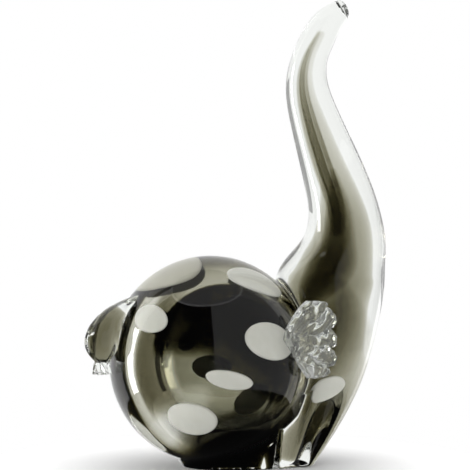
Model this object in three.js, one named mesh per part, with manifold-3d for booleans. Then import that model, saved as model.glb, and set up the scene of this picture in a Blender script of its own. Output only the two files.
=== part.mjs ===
// Glass elephant with a raised trunk, built from the layers and bits of glass that it is made of.
// Millimetres, +Z up, +X the way the elephant faces, origin on the ground-flat base.

import * as THREE from "three";
import { mergeVertices } from "three/addons/utils/BufferGeometryUtils.js";
import Module from "manifold-3d";

const wasm = await Module();
wasm.setup();

// Body ball: centre, and how far it reaches each way
const BODY_X = -12.7;
const BODY_Z = 50.5;
const BODY_REAR = 48;
const BODY_FRONT = 48;
const BODY_UP = 48.2;
const BODY_DOWN = 50;
const BODY_SIDE = 44;

// Feet: the oval ground flat that all four share, and the oval that it flares to inside the body
const FEET_X = 4;
const FEET_LENGTH = 60;
const FEET_DEPTH = 46;
const FEET_FLARE_LENGTH = 74;
const FEET_FLARE_DEPTH = 66;

// Slit between the hind feet and the front feet, and the clear glass left between it and the smoke gather
const SLIT_X = 12;
const SLIT_HEIGHT = 19;
const SLIT_FOOT_WIDTH = 2.2;
const SLIT_TOP_WIDTH = 1;
const SLIT_LEAN = 0.5;
const SLIT_COVER = 4;

// Front of the elephant from the feet up to the trunk tip. Each section has its middle forward and up, its
// half width in the side view and its half depth across, as shares of the reach, height, reach and body side,
// its forward lean in degrees, and the share of it that is smoke glass.
const HEIGHT = 220;
const FRONT_REACH = 76;
const FRONT_SHARES = [
  { forward: 0.342, up: -0.018, half: 0.092, depth: 0.455, lean: 4, smoke: 0 },
  { forward: 0.447, up: 0.066, half: 0.166, depth: 0.545, lean: 8, smoke: 0.3 },
  { forward: 0.545, up: 0.186, half: 0.27, depth: 0.659, lean: 8, smoke: 0.42 },
  { forward: 0.614, up: 0.307, half: 0.322, depth: 0.659, lean: 4, smoke: 0.46 },
  { forward: 0.612, up: 0.382, half: 0.376, depth: 0.591, lean: 0, smoke: 0.46 },
  { forward: 0.661, up: 0.432, half: 0.334, depth: 0.5, lean: 0, smoke: 0.47 },
  { forward: 0.737, up: 0.48, half: 0.263, depth: 0.455, lean: 0, smoke: 0.5 },
  { forward: 0.746, up: 0.523, half: 0.232, depth: 0.4, lean: -4, smoke: 0.5 },
  { forward: 0.675, up: 0.618, half: 0.197, depth: 0.341, lean: -18, smoke: 0.43 },
  { forward: 0.533, up: 0.75, half: 0.154, depth: 0.266, lean: -18, smoke: 0.34 },
  { forward: 0.483, up: 0.834, half: 0.126, depth: 0.218, lean: -2, smoke: 0.26 },
  { forward: 0.514, up: 0.885, half: 0.111, depth: 0.191, lean: 18, smoke: 0.22 },
  { forward: 0.574, up: 0.925, half: 0.105, depth: 0.182, lean: 36, smoke: 0.2 },
  { forward: 0.645, up: 0.958, half: 0.089, depth: 0.164, lean: 52, smoke: 0 },
  { forward: 0.724, up: 0.979, half: 0.067, depth: 0.145, lean: 72, smoke: 0 },
];
const NECK_SECTION = 4;
const TIP_BULGE = 1.4;
const NOSTRIL_RADIUS = 1.8;
const NOSTRIL_SPREAD = 2.6;
const NOSTRIL_DEPTH = 2.2;

// Glass between the outside of the body and the blown bubble on each side, and the smoke layer of it that
// lies next to the bubble
const WALL_REAR = 21.5;
const WALL_FRONT = 6;
const WALL_TOP = 13;
const WALL_BOTTOM = 15;
const WALL_SIDE = 10.5;
const SMOKE_WALL = 3.5;

// Start of the smoke glass that is drawn out of the ball towards the trunk, from the middle of the ball
const DRAW_FORWARD = 14;
const DRAW_RISE = 4;
const DRAW_RADIUS = 17;

// Smoke glass that hangs from the ball into the hind feet: its middle, length, depth and lowest level
const HANG_X = -8;
const HANG_LENGTH = 28;
const HANG_DEPTH = 28;
const HANG_LOW = 4;

// White chips on the smoke gather: turn from the front towards the elephant's right, lift from level, length
// and width as shares of the chip length, and roll of the long way out of level, all angles in degrees. One
// lies on the smoke in the chest, seen from the middle of that front section, the others on the smoke ball.
const CHEST_SECTION = 2;
const CHIP_LENGTH = 24;
const CHIP_THICKNESS = 1.5;
const SPOTS = [
  { name: "spot_right_rump", turn: 177, lift: 27, length: 0.84, width: 0.46, roll: -2 },
  { name: "spot_right_thigh", turn: 141, lift: -37, length: 0.88, width: 0.64, roll: -2 },
  { name: "spot_right_flank", turn: 109, lift: -9, length: 0.84, width: 0.31, roll: -11 },
  { name: "spot_right_shoulder", turn: 77, lift: 16, length: 1, width: 0.66, roll: -14 },
  { name: "spot_right_withers", turn: 62, lift: 64, length: 1, width: 0.64, roll: -39 },
  { name: "spot_right_chest", turn: 85, lift: -20, length: 0.72, width: 0.32, roll: 20, chest: true },
  { name: "spot_left_back", turn: 219, lift: 51, length: 1.5, width: 0.82, roll: 41 },
  { name: "spot_left_thigh", turn: 236, lift: 14, length: 0.6, width: 0.45, roll: 3 },
  { name: "spot_left_flank", turn: 264, lift: -12, length: 1.05, width: 0.58, roll: 5 },
  { name: "spot_left_shoulder", turn: 323, lift: 9, length: 0.8, width: 0.55, roll: 6 },
  { name: "spot_left_belly", turn: 309, lift: -43, length: 0.94, width: 0.72, roll: -58 },
  { name: "spot_left_withers", turn: 300, lift: 58, length: 0.7, width: 0.5, roll: -20 },
];

// Ears: where the middle stands, seen from the body middle, and the pressed fan itself
const EAR_TURN = 52;
const EAR_LIFT = 12;
const EAR_STAND_OFF = 8;
const EAR_OPEN = 8;
const EAR_HEIGHT = 37;
const EAR_WIDTH = 28;
const EAR_THICKNESS = 7;
const EAR_EDGE = 2.6;
const EAR_RIBS = 5;
const EAR_RIB_HEIGHT = 0.9;
const EAR_SCALLOP = 1.1;

// Tail: sections of the drop on the rump, from its top down: how far each middle is behind the rump and above
// the body middle, and its radius, as shares of the body's rear and upper reach
const TAIL_SHARES = [
  { back: -0.348, rise: 0.674, radius: 0.042 },
  { back: -0.025, rise: 0.488, radius: 0.131 },
  { back: 0.079, rise: 0.228, radius: 0.181 },
  { back: 0.079, rise: 0.083, radius: 0.129 },
  { back: 0.069, rise: 0.01, radius: 0.0625 },
];
const TAIL_FRILL_RADIUS = 4.5;
const TAIL_FRILL_HEIGHT = 5.5;
const TAIL_FRILL_LOBES = 7;
const PIPE_HOLE_RADIUS = 3;

// Gap between glass pieces
const GAP = 0.3;

// Facets round and along the curved forms
const BALL_COLUMNS = 32;
const BALL_ROWS = 16;
const FRONT_SIDES = 20;
const FRONT_RINGS = 36;
const SMOKE_SIDES = 12;
const TAIL_SIDES = 14;
const TAIL_RINGS = 12;
const TIP_RINGS = 3;
const SPOT_SIDES = 12;
const EAR_COLUMNS = 32;

const CLEAR_GLASS = { color: 0xf2f4f1, roughness: 0.04, metalness: 0, transparent: true, opacity: 0.35 };
const SMOKE_GLASS = { color: 0x4d4a40, roughness: 0.05, metalness: 0, transparent: true, opacity: 0.8 };
const OPAL_GLASS = { color: 0xe4e2d9, roughness: 0.3, metalness: 0 };

const radians = THREE.MathUtils.degToRad;

// Closed solid of a geometry, for joining and cutting
function solid(geometry) {
  const bare = geometry.clone();
  bare.deleteAttribute("normal");
  bare.deleteAttribute("uv");
  const joined = mergeVertices(bare);
  const mesh = new wasm.Mesh({
    numProp: 3,
    vertProperties: new Float32Array(joined.attributes.position.array),
    triVerts: new Uint32Array(joined.index.array),
  });
  return new wasm.Manifold(mesh);
}

// Geometry of a solid, with flat facets
function geometryOf(body) {
  const mesh = body.getMesh();
  const geometry = new THREE.BufferGeometry();
  geometry.setAttribute("position", new THREE.BufferAttribute(new Float32Array(mesh.vertProperties), 3));
  geometry.setIndex(new THREE.BufferAttribute(new Uint32Array(mesh.triVerts), 1));
  const faceted = geometry.toNonIndexed();
  faceted.computeVertexNormals();
  return faceted;
}

// Ball that reaches a different way to each side, grown outwards all round
function ballGeometry(ball, grow) {
  const geometry = new THREE.SphereGeometry(1, BALL_COLUMNS, BALL_ROWS);
  geometry.rotateX(Math.PI / 2);
  const place = geometry.attributes.position;
  for (let i = 0; i < place.count; i += 1) {
    const [x, y, z] = [place.getX(i), place.getY(i), place.getZ(i)];
    const along = (x < 0 ? ball.rear : ball.front) + grow;
    const upright = (z < 0 ? ball.down : ball.up) + grow;
    place.setXYZ(i, ball.x + x * along, y * (ball.side + grow), ball.z + z * upright);
  }
  return geometry;
}

// Closed skin over rings of points, each ring with the same count, with a point at each end
function ringSkin(rings, start, end) {
  const count = rings[0].length;
  const points = [start, ...rings.flat(), end];
  const last = points.length - 1;
  const faces = [];
  for (let side = 0; side < count; side += 1) {
    const next = (side + 1) % count;
    faces.push(0, 1 + next, 1 + side);
    for (let ring = 0; ring + 1 < rings.length; ring += 1) {
      const low = 1 + ring * count;
      const high = low + count;
      faces.push(low + side, low + next, high + next);
      faces.push(low + side, high + next, high + side);
    }
    faces.push(last, last - count + side, last - count + next);
  }
  const geometry = new THREE.BufferGeometry().setFromPoints(points);
  geometry.setIndex(faces);
  return geometry;
}

// Ring of an oval section across a curve that lies in the middle plane of the elephant
function ovalRing(middle, direction, half, depth, sides) {
  const across = new THREE.Vector3(direction.z, 0, -direction.x);
  const ring = [];
  for (let side = 0; side < sides; side += 1) {
    const angle = (2 * Math.PI * side) / sides;
    const point = middle.clone().addScaledVector(across, half * Math.cos(angle));
    point.y += depth * Math.sin(angle);
    ring.push(point);
  }
  return ring;
}

// Upward direction in the middle plane that leans forward by an angle in degrees
function leaning(angle) {
  return new THREE.Vector3(Math.sin(radians(angle)), 0, Math.cos(radians(angle)));
}

// Smooth loft through oval sections in the middle plane, with a flat start and a domed end
function loftGeometry(sections, grow, sides, ringCount, bulge) {
  const spine = new THREE.CatmullRomCurve3(sections.map((s) => new THREE.Vector3(s.x, 0, s.z)));
  const sizes = new THREE.CatmullRomCurve3(sections.map((s) => new THREE.Vector3(s.half, s.depth, s.lean)));
  const rings = [];
  for (let ring = 0; ring <= ringCount; ring += 1) {
    const size = sizes.getPoint(ring / ringCount);
    const middle = spine.getPoint(ring / ringCount);
    rings.push(ovalRing(middle, leaning(size.z), size.x + grow, size.y + grow, sides));
  }
  const tip = spine.getPoint(1);
  const size = sizes.getPoint(1);
  const ahead = leaning(size.z);
  for (let ring = 1; ring <= TIP_RINGS; ring += 1) {
    const angle = (0.5 * Math.PI * ring) / (TIP_RINGS + 1);
    const middle = tip.clone().addScaledVector(ahead, (bulge + grow) * Math.sin(angle));
    const shrink = Math.cos(angle);
    rings.push(ovalRing(middle, ahead, (size.x + grow) * shrink, (size.y + grow) * shrink, sides));
  }
  return ringSkin(rings, spine.getPoint(0), tip.clone().addScaledVector(ahead, bulge + grow));
}

// Round bar between two points
function barGeometry(from, to, radius) {
  const along = new THREE.Vector3().subVectors(to, from);
  const geometry = new THREE.CylinderGeometry(radius, radius, along.length(), 16);
  const up = new THREE.Vector3(0, 1, 0);
  geometry.applyQuaternion(new THREE.Quaternion().setFromUnitVectors(up, along.clone().normalize()));
  const middle = from.clone().add(to).multiplyScalar(0.5);
  return geometry.translate(middle.x, middle.y, middle.z);
}

// Unit direction for a turn from the front towards the elephant's right and a lift from level
function directionOf(turn, lift) {
  const level = Math.cos(radians(lift));
  const x = Math.cos(radians(turn)) * level;
  const y = -Math.sin(radians(turn)) * level;
  return new THREE.Vector3(x, y, Math.sin(radians(lift)));
}

const frontSections = FRONT_SHARES.map((share) => ({
  x: share.forward * FRONT_REACH,
  z: share.up * HEIGHT,
  half: share.half * FRONT_REACH,
  depth: share.depth * BODY_SIDE,
  lean: share.lean,
  smoke: share.smoke,
}));

const bodyBall = {
  x: BODY_X, z: BODY_Z, rear: BODY_REAR, front: BODY_FRONT, up: BODY_UP, down: BODY_DOWN, side: BODY_SIDE,
};

// Blown bubble, set in from each side of the body by the wall there
function blownBubble() {
  const [left, right] = [BODY_X - BODY_REAR + WALL_REAR, BODY_X + BODY_FRONT - WALL_FRONT];
  const [low, high] = [BODY_Z - BODY_DOWN + WALL_BOTTOM, BODY_Z + BODY_UP - WALL_TOP];
  const [along, upright] = [(right - left) / 2, (high - low) / 2];
  const middle = { x: left + along, z: low + upright };
  return { ...middle, rear: along, front: along, up: upright, down: upright, side: BODY_SIDE - WALL_SIDE };
}

// Ball with the same middle as another, larger by a layer all round
function layered(ball, layer) {
  const [along, upright] = [ball.rear + layer, ball.up + layer];
  return { ...ball, rear: along, front: along, up: upright, down: upright, side: ball.side + layer };
}

const airBubble = blownBubble();
const smokeBall = layered(airBubble, SMOKE_WALL);

// Point on a ball in a direction from its middle
function onBall(ball, direction) {
  const along = direction.x < 0 ? ball.rear : ball.front;
  const upright = direction.z < 0 ? ball.down : ball.up;
  const stretch = new THREE.Vector3(direction.x / along, direction.y / ball.side, direction.z / upright);
  return direction.clone().divideScalar(stretch.length()).add(new THREE.Vector3(ball.x, 0, ball.z));
}

// Foot of the figure: flares from the oval ground flat up into the body
function feet(grow) {
  const [low, high] = [new THREE.Vector3(FEET_X, 0, -GAP), new THREE.Vector3(FEET_X, 0, BODY_Z)];
  const up = leaning(0);
  const rings = [
    ovalRing(low, up, FEET_LENGTH / 2 + grow, FEET_DEPTH / 2 + grow, FRONT_SIDES),
    ovalRing(high, up, FEET_FLARE_LENGTH / 2 + grow, FEET_FLARE_DEPTH / 2 + grow, FRONT_SIDES),
  ];
  return solid(ringSkin(rings, low, high));
}

// Whole outer form of the glass, before it is ground flat
function outerForm(grow) {
  const ball = solid(ballGeometry(bodyBall, grow));
  const front = solid(loftGeometry(frontSections, grow, FRONT_SIDES, FRONT_RINGS, TIP_BULGE));
  return ball.add(front).add(feet(grow));
}

// Everything below the ground plane
function belowGround() {
  const side = 4 * (BODY_REAR + BODY_FRONT);
  return solid(new THREE.BoxGeometry(side, side, side).translate(0, 0, -side / 2));
}

// Slit that parts the hind feet from the front feet, right through from side to side, arched in its middle
// where the smoke gather hangs lower
function feetSlit() {
  const outline = new THREE.Shape();
  outline.moveTo(SLIT_X - SLIT_FOOT_WIDTH / 2, -1);
  outline.lineTo(SLIT_X + SLIT_FOOT_WIDTH / 2, -1);
  outline.lineTo(SLIT_X + SLIT_LEAN + SLIT_TOP_WIDTH / 2, SLIT_HEIGHT);
  outline.absarc(SLIT_X + SLIT_LEAN, SLIT_HEIGHT, SLIT_TOP_WIDTH / 2, 0, Math.PI, false);
  const depth = 3 * BODY_SIDE;
  const geometry = new THREE.ExtrudeGeometry(outline, { depth, bevelEnabled: false, curveSegments: 6 });
  geometry.translate(0, 0, -depth / 2).rotateX(Math.PI / 2);
  return solid(geometry).subtract(solid(ballGeometry(smokeBall, SLIT_COVER)));
}

// Two dents pressed into the end of the trunk
function nostrils() {
  const tip = frontSections.at(-1);
  const ahead = leaning(tip.lean);
  const from = new THREE.Vector3(tip.x, 0, tip.z).addScaledVector(ahead, TIP_BULGE - NOSTRIL_DEPTH);
  const to = from.clone().addScaledVector(ahead, NOSTRIL_DEPTH + 2 * TIP_BULGE);
  const dent = barGeometry(from, to, NOSTRIL_RADIUS);
  const right = solid(dent.clone().translate(0, -NOSTRIL_SPREAD, 0));
  return right.add(solid(dent.clone().translate(0, NOSTRIL_SPREAD, 0)));
}

// Smoke glass inside some of the front sections, after an own start if it has one
function smokeLoft(sections, start, grow) {
  const filled = sections.filter((section) => section.smoke > 0);
  const inner = filled.map((s) => ({ ...s, half: s.smoke * s.half, depth: s.smoke * s.depth }));
  const rows = start ? [start, ...inner] : inner;
  return solid(loftGeometry(rows, grow, SMOKE_SIDES, 2 * rows.length, rows.at(-1).half));
}

// Smoke gather: ball in the body, drawn out through the neck into the trunk, down into the chest and feet
function smokeForm(grow) {
  const middle = { x: smokeBall.x + DRAW_FORWARD, z: smokeBall.z + DRAW_RISE };
  const start = { ...middle, half: DRAW_RADIUS, depth: DRAW_RADIUS, lean: 50 };
  const trunk = smokeLoft(frontSections.slice(NECK_SECTION), start, grow);
  return solid(ballGeometry(smokeBall, grow)).add(trunk).add(chestSmoke(grow)).add(hangingSmoke(grow));
}

function chestSmoke(grow) {
  return smokeLoft(frontSections.slice(0, NECK_SECTION + 1), null, grow);
}

// Tall ball about as wide as the smoke in the chest
function chestBall() {
  const section = frontSections[CHEST_SECTION];
  const [half, depth, tall] = [section.smoke * section.half, section.smoke * section.depth, BODY_UP];
  return { x: section.x, z: section.z, rear: half, front: half, up: tall, down: tall, side: depth };
}

// Smoke glass between the ball and the hind feet
function hangingSmoke(grow) {
  const low = new THREE.Vector3(HANG_X, 0, HANG_LOW - grow);
  const high = new THREE.Vector3(HANG_X, 0, smokeBall.z / 2);
  const [half, depth] = [HANG_LENGTH / 2 + grow, HANG_DEPTH / 2 + grow];
  const rings = [low, high].map((middle) => ovalRing(middle, leaning(0), half, depth, SMOKE_SIDES));
  return solid(ringSkin(rings, low, high));
}

// Blowpipe hole through the rump into the bubble, at the level of the lower tail
const rumpX = BODY_X - BODY_REAR;
const pipeZ = BODY_Z + TAIL_SHARES.at(-2).rise * BODY_UP;
const bubbleRearX = airBubble.x - airBubble.rear;

function pipeBar(fromX, toX, radius) {
  return solid(barGeometry(new THREE.Vector3(fromX, 0, pipeZ), new THREE.Vector3(toX, 0, pipeZ), radius));
}

// Oval plug along the outward direction of a spot, grown all round
function spotPlug(spot, grow) {
  const outward = directionOf(spot.turn, spot.lift);
  const plug = new THREE.CylinderGeometry(1, 1, 6 * CHIP_THICKNESS, SPOT_SIDES);
  plug.scale((spot.length * CHIP_LENGTH) / 2 + grow, 1, (spot.width * CHIP_LENGTH) / 2 + grow);
  plug.rotateX(Math.PI / 2).rotateZ(radians(spot.roll));
  const level = new THREE.Vector3(outward.y, -outward.x, 0).normalize();
  const rise = new THREE.Vector3().crossVectors(outward, level);
  plug.applyMatrix4(new THREE.Matrix4().makeBasis(level, rise, outward));
  const middle = onBall(spot.chest ? chestBall() : smokeBall, outward);
  return solid(plug.translate(middle.x, middle.y, middle.z));
}

// Smoke form that a spot lies in the face of
function spotSeat(spot, grow) {
  return spot.chest ? chestSmoke(grow) : solid(ballGeometry(smokeBall, grow));
}

// Chip that lies flush in the face of the smoke
function spotChip(spot) {
  return spotPlug(spot, 0).intersect(spotSeat(spot, 0)).subtract(spotSeat(spot, -CHIP_THICKNESS));
}

function spotPocket(spot) {
  return spotPlug(spot, GAP).subtract(spotSeat(spot, -CHIP_THICKNESS - GAP));
}

// Reach of the ear outline from its middle: a blunt point at the back, squarer and scalloped at the front
function earReach(angle) {
  const power = Math.cos(angle) > 0 ? 3.5 : 1.3;
  const across = Math.abs(Math.cos(angle) / (EAR_WIDTH / 2)) ** power;
  const upright = Math.abs(Math.sin(angle) / (EAR_HEIGHT / 2)) ** power;
  const scallop = EAR_SCALLOP * Math.cos(2 * EAR_RIBS * angle) * Math.max(0, Math.cos(angle));
  return (across + upright) ** (-1 / power) + scallop;
}

// Pressed fan, flat side inwards, with ribs spreading from its back edge to the scalloped front edge
function earGeometry() {
  const backEdge = -EAR_WIDTH / 2;
  const ring = (share, inner) => {
    const points = [];
    for (let column = 0; column < EAR_COLUMNS; column += 1) {
      const angle = (2 * Math.PI * column) / EAR_COLUMNS;
      const reach = earReach(angle) * share;
      const [x, z] = [reach * Math.cos(angle), reach * Math.sin(angle)];
      const spread = Math.atan2(z, x - backEdge);
      const dome = EAR_EDGE + (EAR_THICKNESS - EAR_EDGE) * Math.sqrt(1 - share * share);
      const rib = EAR_RIB_HEIGHT * Math.cos(2 * EAR_RIBS * spread) * share * ((x - backEdge) / EAR_WIDTH);
      points.push(new THREE.Vector3(x, inner ? 0 : -dome - rib, z));
    }
    return points;
  };
  const inside = [ring(0.5, true), ring(1, true)];
  const outside = [1, 0.8, 0.55, 0.3].map((share) => ring(share, false));
  return ringSkin([...inside, ...outside], new THREE.Vector3(), new THREE.Vector3(0, -EAR_THICKNESS, 0));
}

// Ear that stands on one side of the head, fused to the body at its back edge
function ear(isLeft) {
  const outward = directionOf(EAR_TURN, EAR_LIFT);
  const seat = onBall(bodyBall, outward).addScaledVector(outward, EAR_STAND_OFF);
  const geometry = earGeometry().translate(0, EAR_THICKNESS, 0).rotateZ(radians(-EAR_OPEN));
  geometry.translate(seat.x, seat.y, seat.z);
  const body = solid(geometry);
  return (isLeft ? body.mirror([0, 1, 0]) : body).subtract(outerForm(GAP));
}

// Drop hanging on the rump with a frilled end below it, and the root that fills the blowpipe hole
function tail() {
  const sections = TAIL_SHARES.map((share) => {
    const radius = share.radius * BODY_REAR;
    const middle = { x: rumpX - share.back * BODY_REAR, z: BODY_Z + share.rise * BODY_UP };
    return { ...middle, half: radius, depth: radius, lean: 180 };
  });
  const end = sections.at(-1);
  const drop = solid(loftGeometry(sections, 0, TAIL_SIDES, TAIL_RINGS, end.half / 2));
  const hanging = drop.add(tailFrill(end)).subtract(outerForm(GAP));
  return hanging.add(pipeBar(sections.at(-2).x, bubbleRearX, PIPE_HOLE_RADIUS - GAP));
}

// Frilled end of the tail: a small lobed disc under the drop
function tailFrill(end) {
  const outline = new THREE.Shape();
  const pointCount = 6 * TAIL_FRILL_LOBES;
  for (let i = 0; i < pointCount; i += 1) {
    const angle = (2 * Math.PI * i) / pointCount;
    const reach = TAIL_FRILL_RADIUS * (0.88 + 0.12 * Math.cos(TAIL_FRILL_LOBES * angle));
    const point = [reach * Math.cos(angle), reach * Math.sin(angle)];
    i === 0 ? outline.moveTo(...point) : outline.lineTo(...point);
  }
  const geometry = new THREE.ExtrudeGeometry(outline, { depth: TAIL_FRILL_HEIGHT, bevelEnabled: false });
  return solid(geometry.translate(end.x, 0, end.z - TAIL_FRILL_HEIGHT));
}

function clearCasing() {
  const form = outerForm(0).subtract(belowGround()).subtract(feetSlit()).subtract(nostrils());
  const pipeHole = pipeBar(rumpX - PIPE_HOLE_RADIUS, smokeBall.x - smokeBall.rear / 2, PIPE_HOLE_RADIUS);
  return form.subtract(smokeForm(GAP)).subtract(pipeHole);
}

function smokeCore() {
  const pipeHole = pipeBar(rumpX, airBubble.x, PIPE_HOLE_RADIUS);
  let body = smokeForm(0).subtract(solid(ballGeometry(airBubble, 0))).subtract(pipeHole);
  for (const spot of SPOTS) {
    body = body.subtract(spotPocket(spot));
  }
  return body;
}

function piece(name, body, look) {
  const mesh = new THREE.Mesh(geometryOf(body), new THREE.MeshStandardMaterial(look));
  mesh.name = name;
  return mesh;
}

const elephant = new THREE.Group();
elephant.name = "glass_elephant";
elephant.add(piece("clear_casing", clearCasing(), CLEAR_GLASS));
elephant.add(piece("smoke_core", smokeCore(), SMOKE_GLASS));
for (const spot of SPOTS) {
  elephant.add(piece(spot.name, spotChip(spot), OPAL_GLASS));
}
elephant.add(piece("right_ear", ear(false), CLEAR_GLASS));
elephant.add(piece("left_ear", ear(true), CLEAR_GLASS));
elephant.add(piece("tail", tail(), CLEAR_GLASS));

export default elephant;
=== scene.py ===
"""Glass elephant with a raised trunk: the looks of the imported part, and the studio that it is seen in."""

import math
from itertools import product

import bpy
import numpy as np
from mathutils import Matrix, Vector


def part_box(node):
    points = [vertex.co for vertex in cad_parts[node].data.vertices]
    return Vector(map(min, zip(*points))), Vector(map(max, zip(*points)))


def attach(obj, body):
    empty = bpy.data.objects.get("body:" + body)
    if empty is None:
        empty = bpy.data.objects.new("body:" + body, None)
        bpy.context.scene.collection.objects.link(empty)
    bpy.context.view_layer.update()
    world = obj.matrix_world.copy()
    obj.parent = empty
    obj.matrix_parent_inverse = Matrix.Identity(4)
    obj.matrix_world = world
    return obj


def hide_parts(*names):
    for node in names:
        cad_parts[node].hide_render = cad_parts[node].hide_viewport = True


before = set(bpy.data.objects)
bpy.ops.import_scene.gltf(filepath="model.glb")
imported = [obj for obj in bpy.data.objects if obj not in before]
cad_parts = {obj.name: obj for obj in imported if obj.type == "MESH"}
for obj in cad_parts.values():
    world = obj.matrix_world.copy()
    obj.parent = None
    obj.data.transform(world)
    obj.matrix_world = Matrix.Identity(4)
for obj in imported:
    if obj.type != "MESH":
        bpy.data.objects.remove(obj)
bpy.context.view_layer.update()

bl_info = {
    "name": "Glass Elephant",
    "version": (1, 0, 0),
    "blender": (4, 5, 0),
    "location": "3D View > Sidebar > Elephant",
    "description": "Builds a layered glass elephant over its packed frame",
    "category": "Object",
}

# Front of the elephant from the feet up to the trunk tip, in millimetres: middle forward and up, half width
# in the side view, half depth across, forward lean in degrees
FRONT_SECTIONS = (
    (26, -4, 7, 20, 4),
    (34, 14.5, 12.6, 24, 8),
    (41.4, 41, 20.5, 29, 8),
    (46.7, 67.5, 24.5, 29, 4),
    (48.6, 84, 26.5, 26.2, 0),
    (51.2, 95, 24.6, 23.6, 0),
    (56, 105.5, 20, 21, 0),
    (56.7, 115, 17.6, 18.8, -4),
    (51.3, 136, 15, 15.2, -18),
    (40.5, 165, 11.7, 11.7, -18),
    (36.7, 183.5, 9.6, 9.6, -2),
    (39.1, 194.7, 8.4, 8.4, 18),
    (43.6, 203.6, 8, 8, 36),
    (49, 210.8, 6.8, 7.2, 52),
    (55, 215.3, 5.1, 6.4, 72),
)

# Smoke glass drawn out of the ball through the neck into the trunk, and down into the chest: middle forward
# and up, half width in the side view, half depth across, lean
TRUNK_SMOKE = (
    (12.8, 57.9, 17, 17, 50),
    (48.5, 84, 14, 12, 0),
    (53, 95, 11.2, 10.5, 0),
    (56, 105.5, 9.3, 9.5, 0),
    (56.2, 115, 8, 8.4, -4),
    (51.4, 136, 5, 5.2, -18),
    (40.5, 165, 3.2, 3.2, -18),
    (36.7, 183.5, 2, 2, -2),
    (39.1, 194.7, 1.7, 1.7, 18),
    (43.6, 203.6, 1.6, 1.6, 36),
)
CHEST_SMOKE = (
    (24.5, 6, 9, 12, 8),
    (28.5, 15, 11.5, 14, 8),
    (34, 26, 12.5, 14, 8),
    (40, 41, 11.5, 13.5, 8),
    (46, 67.5, 12.6, 13, 4),
    (48.5, 84, 14, 12, 0),
)

# Drop of the tail from its top down: middle forward and up, radius twice, lean
TAIL_SECTIONS = (
    (-44, 83, 2, 2, 180),
    (-60.5, 74, 6.2, 6.2, 180),
    (-66.5, 61.5, 8.2, 8.2, 180),
    (-66.8, 54.5, 6, 6, 180),
    (-66.5, 51, 3, 3, 180),
)

# Centre and reach of the body ball, the smoke ball in it and the air bubble in that, in millimetres
BODY_BALL = ((-12.7, 0, 50.5), (48, 44, 49))
SMOKE_BALL = ((-4.95, 0, 50.6), (37.75, 37, 38.6))
AIR_BUBBLE = ((-4.95, 0, 50.6), (34.25, 33.5, 35.1))

# How far the rounded ends of the rows of sections above stand out, in millimetres
FRONT_BULGE = 1.6
TRUNK_BULGE = 1.6
CHEST_BULGE = 3.8
TAIL_BULGE = 1.5

# Block of the hind feet: middle forward, half length and half depth on the ground, what they gain up to the
# middle of the body ball, and the block's top
FEET_FORWARD = 4
FEET_SIZE = (30, 23)
FEET_FLARE = (7, 10)
FEET_TOP = 34

# Slit between the hind and the front feet: middle forward on the ground, how far that moves and how much the
# half width shrinks over its height, where its round top starts, and the glass left under the smoke ball
SLIT_FORWARD = 12
SLIT_LEAN = 0.5
SLIT_HEIGHT = 19
SLIT_HALF_WIDTH = 1.3
SLIT_TAPER = 0.5
SLIT_SHOULDER = 18.5
SLIT_COVER = 4

# Two dents in the end of the trunk
NOSTRIL_SPREAD = 2.6
NOSTRIL_RADIUS = 1.8
NOSTRIL_DEPTH = 0.8

# Softness of joins and of edges, in millimetres
FEET_JOIN = 4
SMOKE_JOIN = 3
FRILL_JOIN = 1.5
BASE_EDGE = 1.2
FINE_EDGE = 0.8
NOSTRIL_EDGE = 0.6

# Level directions for the smoke round the bubble: away from the picture's camera, and to the picture's right
FAR_WAY = (0.37, 0.93, 0)
AHEAD_WAY = (0.93, -0.37, 0)

# Share of the smoke layer that is missing at the top, the lower rear and the rump, and the two ranges of a
# unit direction over which each comes in: up and near, down and behind, in the middle and behind
TOP_BARE = 0.55
TOP_RANGES = ((0.55, 0.85), (0.15, -0.15))
REAR_BARE = 0.94
REAR_RANGES = ((0.35, 0.65), (0.3, 0.6))
RUMP_BARE = 0.9
RUMP_RANGES = ((0.34, 0.14), (0.5, 0.8))

# Range downwards over which the sagging smoke comes in, and how much lower that lies behind
SAG_RANGE = (0.8, 0.94)
SAG_BEHIND = 0.3

# Dark caps on the bubble's sides, painted shade where the bubble's upper half looks dark from how light
# passes
# through it: ranges upwards and to the side over which they come in, level of the lower edge, how steeply it
# dips forward and from where, and how far the upper part comes inwards
CAP_RANGES = ((-0.12, 0.12), (0.5, 0.58))
CAP_LEVEL = 0.18
CAP_DIP = 0.75
CAP_DIP_FROM = -0.25
CAP_LEAN = 0.1

# Smoke that hangs from the bubble into the hind feet: middle forward, half length and half depth, lowest and
# highest level
HANGING_FORWARD = -4.5
HANGING_SIZE = (14.5, 15)
HANGING_LEVELS = (1.2, 25)

# Gaps and covers between the layers of glass, in millimetres
GATHER_GAP = 0.05
CAP_GAP = 0.12
THINNEST_CAP = 0.15
THINNEST_LAYER = 0.1
LONGEST_LAYER = 26.0
CASING_COVER = 1
CHIP_PROUD = 0.15

# Ear, from the middle of its box: half length and half height, turn away from the body in degrees, power of
# the oval in front, at the lower rear and at the upper rear
EAR_SIZE = (13.5, 18)
EAR_TURN = 8
EAR_POWERS = (3.5, 1.0, 1.3)

# Ribs of the ear: how far behind its middle they fan out from, over how many radians, how far they wander,
# how far they scallop the front edge, their height and how deep the glass is pressed between them
FAN_ROOT = 14
FAN_SPREAD = 1.7
FAN_WANDER = 0.12
FAN_SCALLOP = 1.6
RIB_HEIGHT = 5.8
RIB_PRESS = 1.6

# Face of the ear: height of its edge, dome and lip, share of the way out where the lip lies and half its
# width, height of the crumples on the ribs and in the hollow, lowest and highest level
EAR_EDGE = 1.6
EAR_DOME = 2.4
EAR_LIP = 1.4
LIP_PLACE = 0.88
LIP_WIDTH = 0.09
RIB_CRUMPLE = 0.7
HOLLOW_CRUMPLE = 0.9
EAR_LEVELS = (1.2, 7.8)

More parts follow.
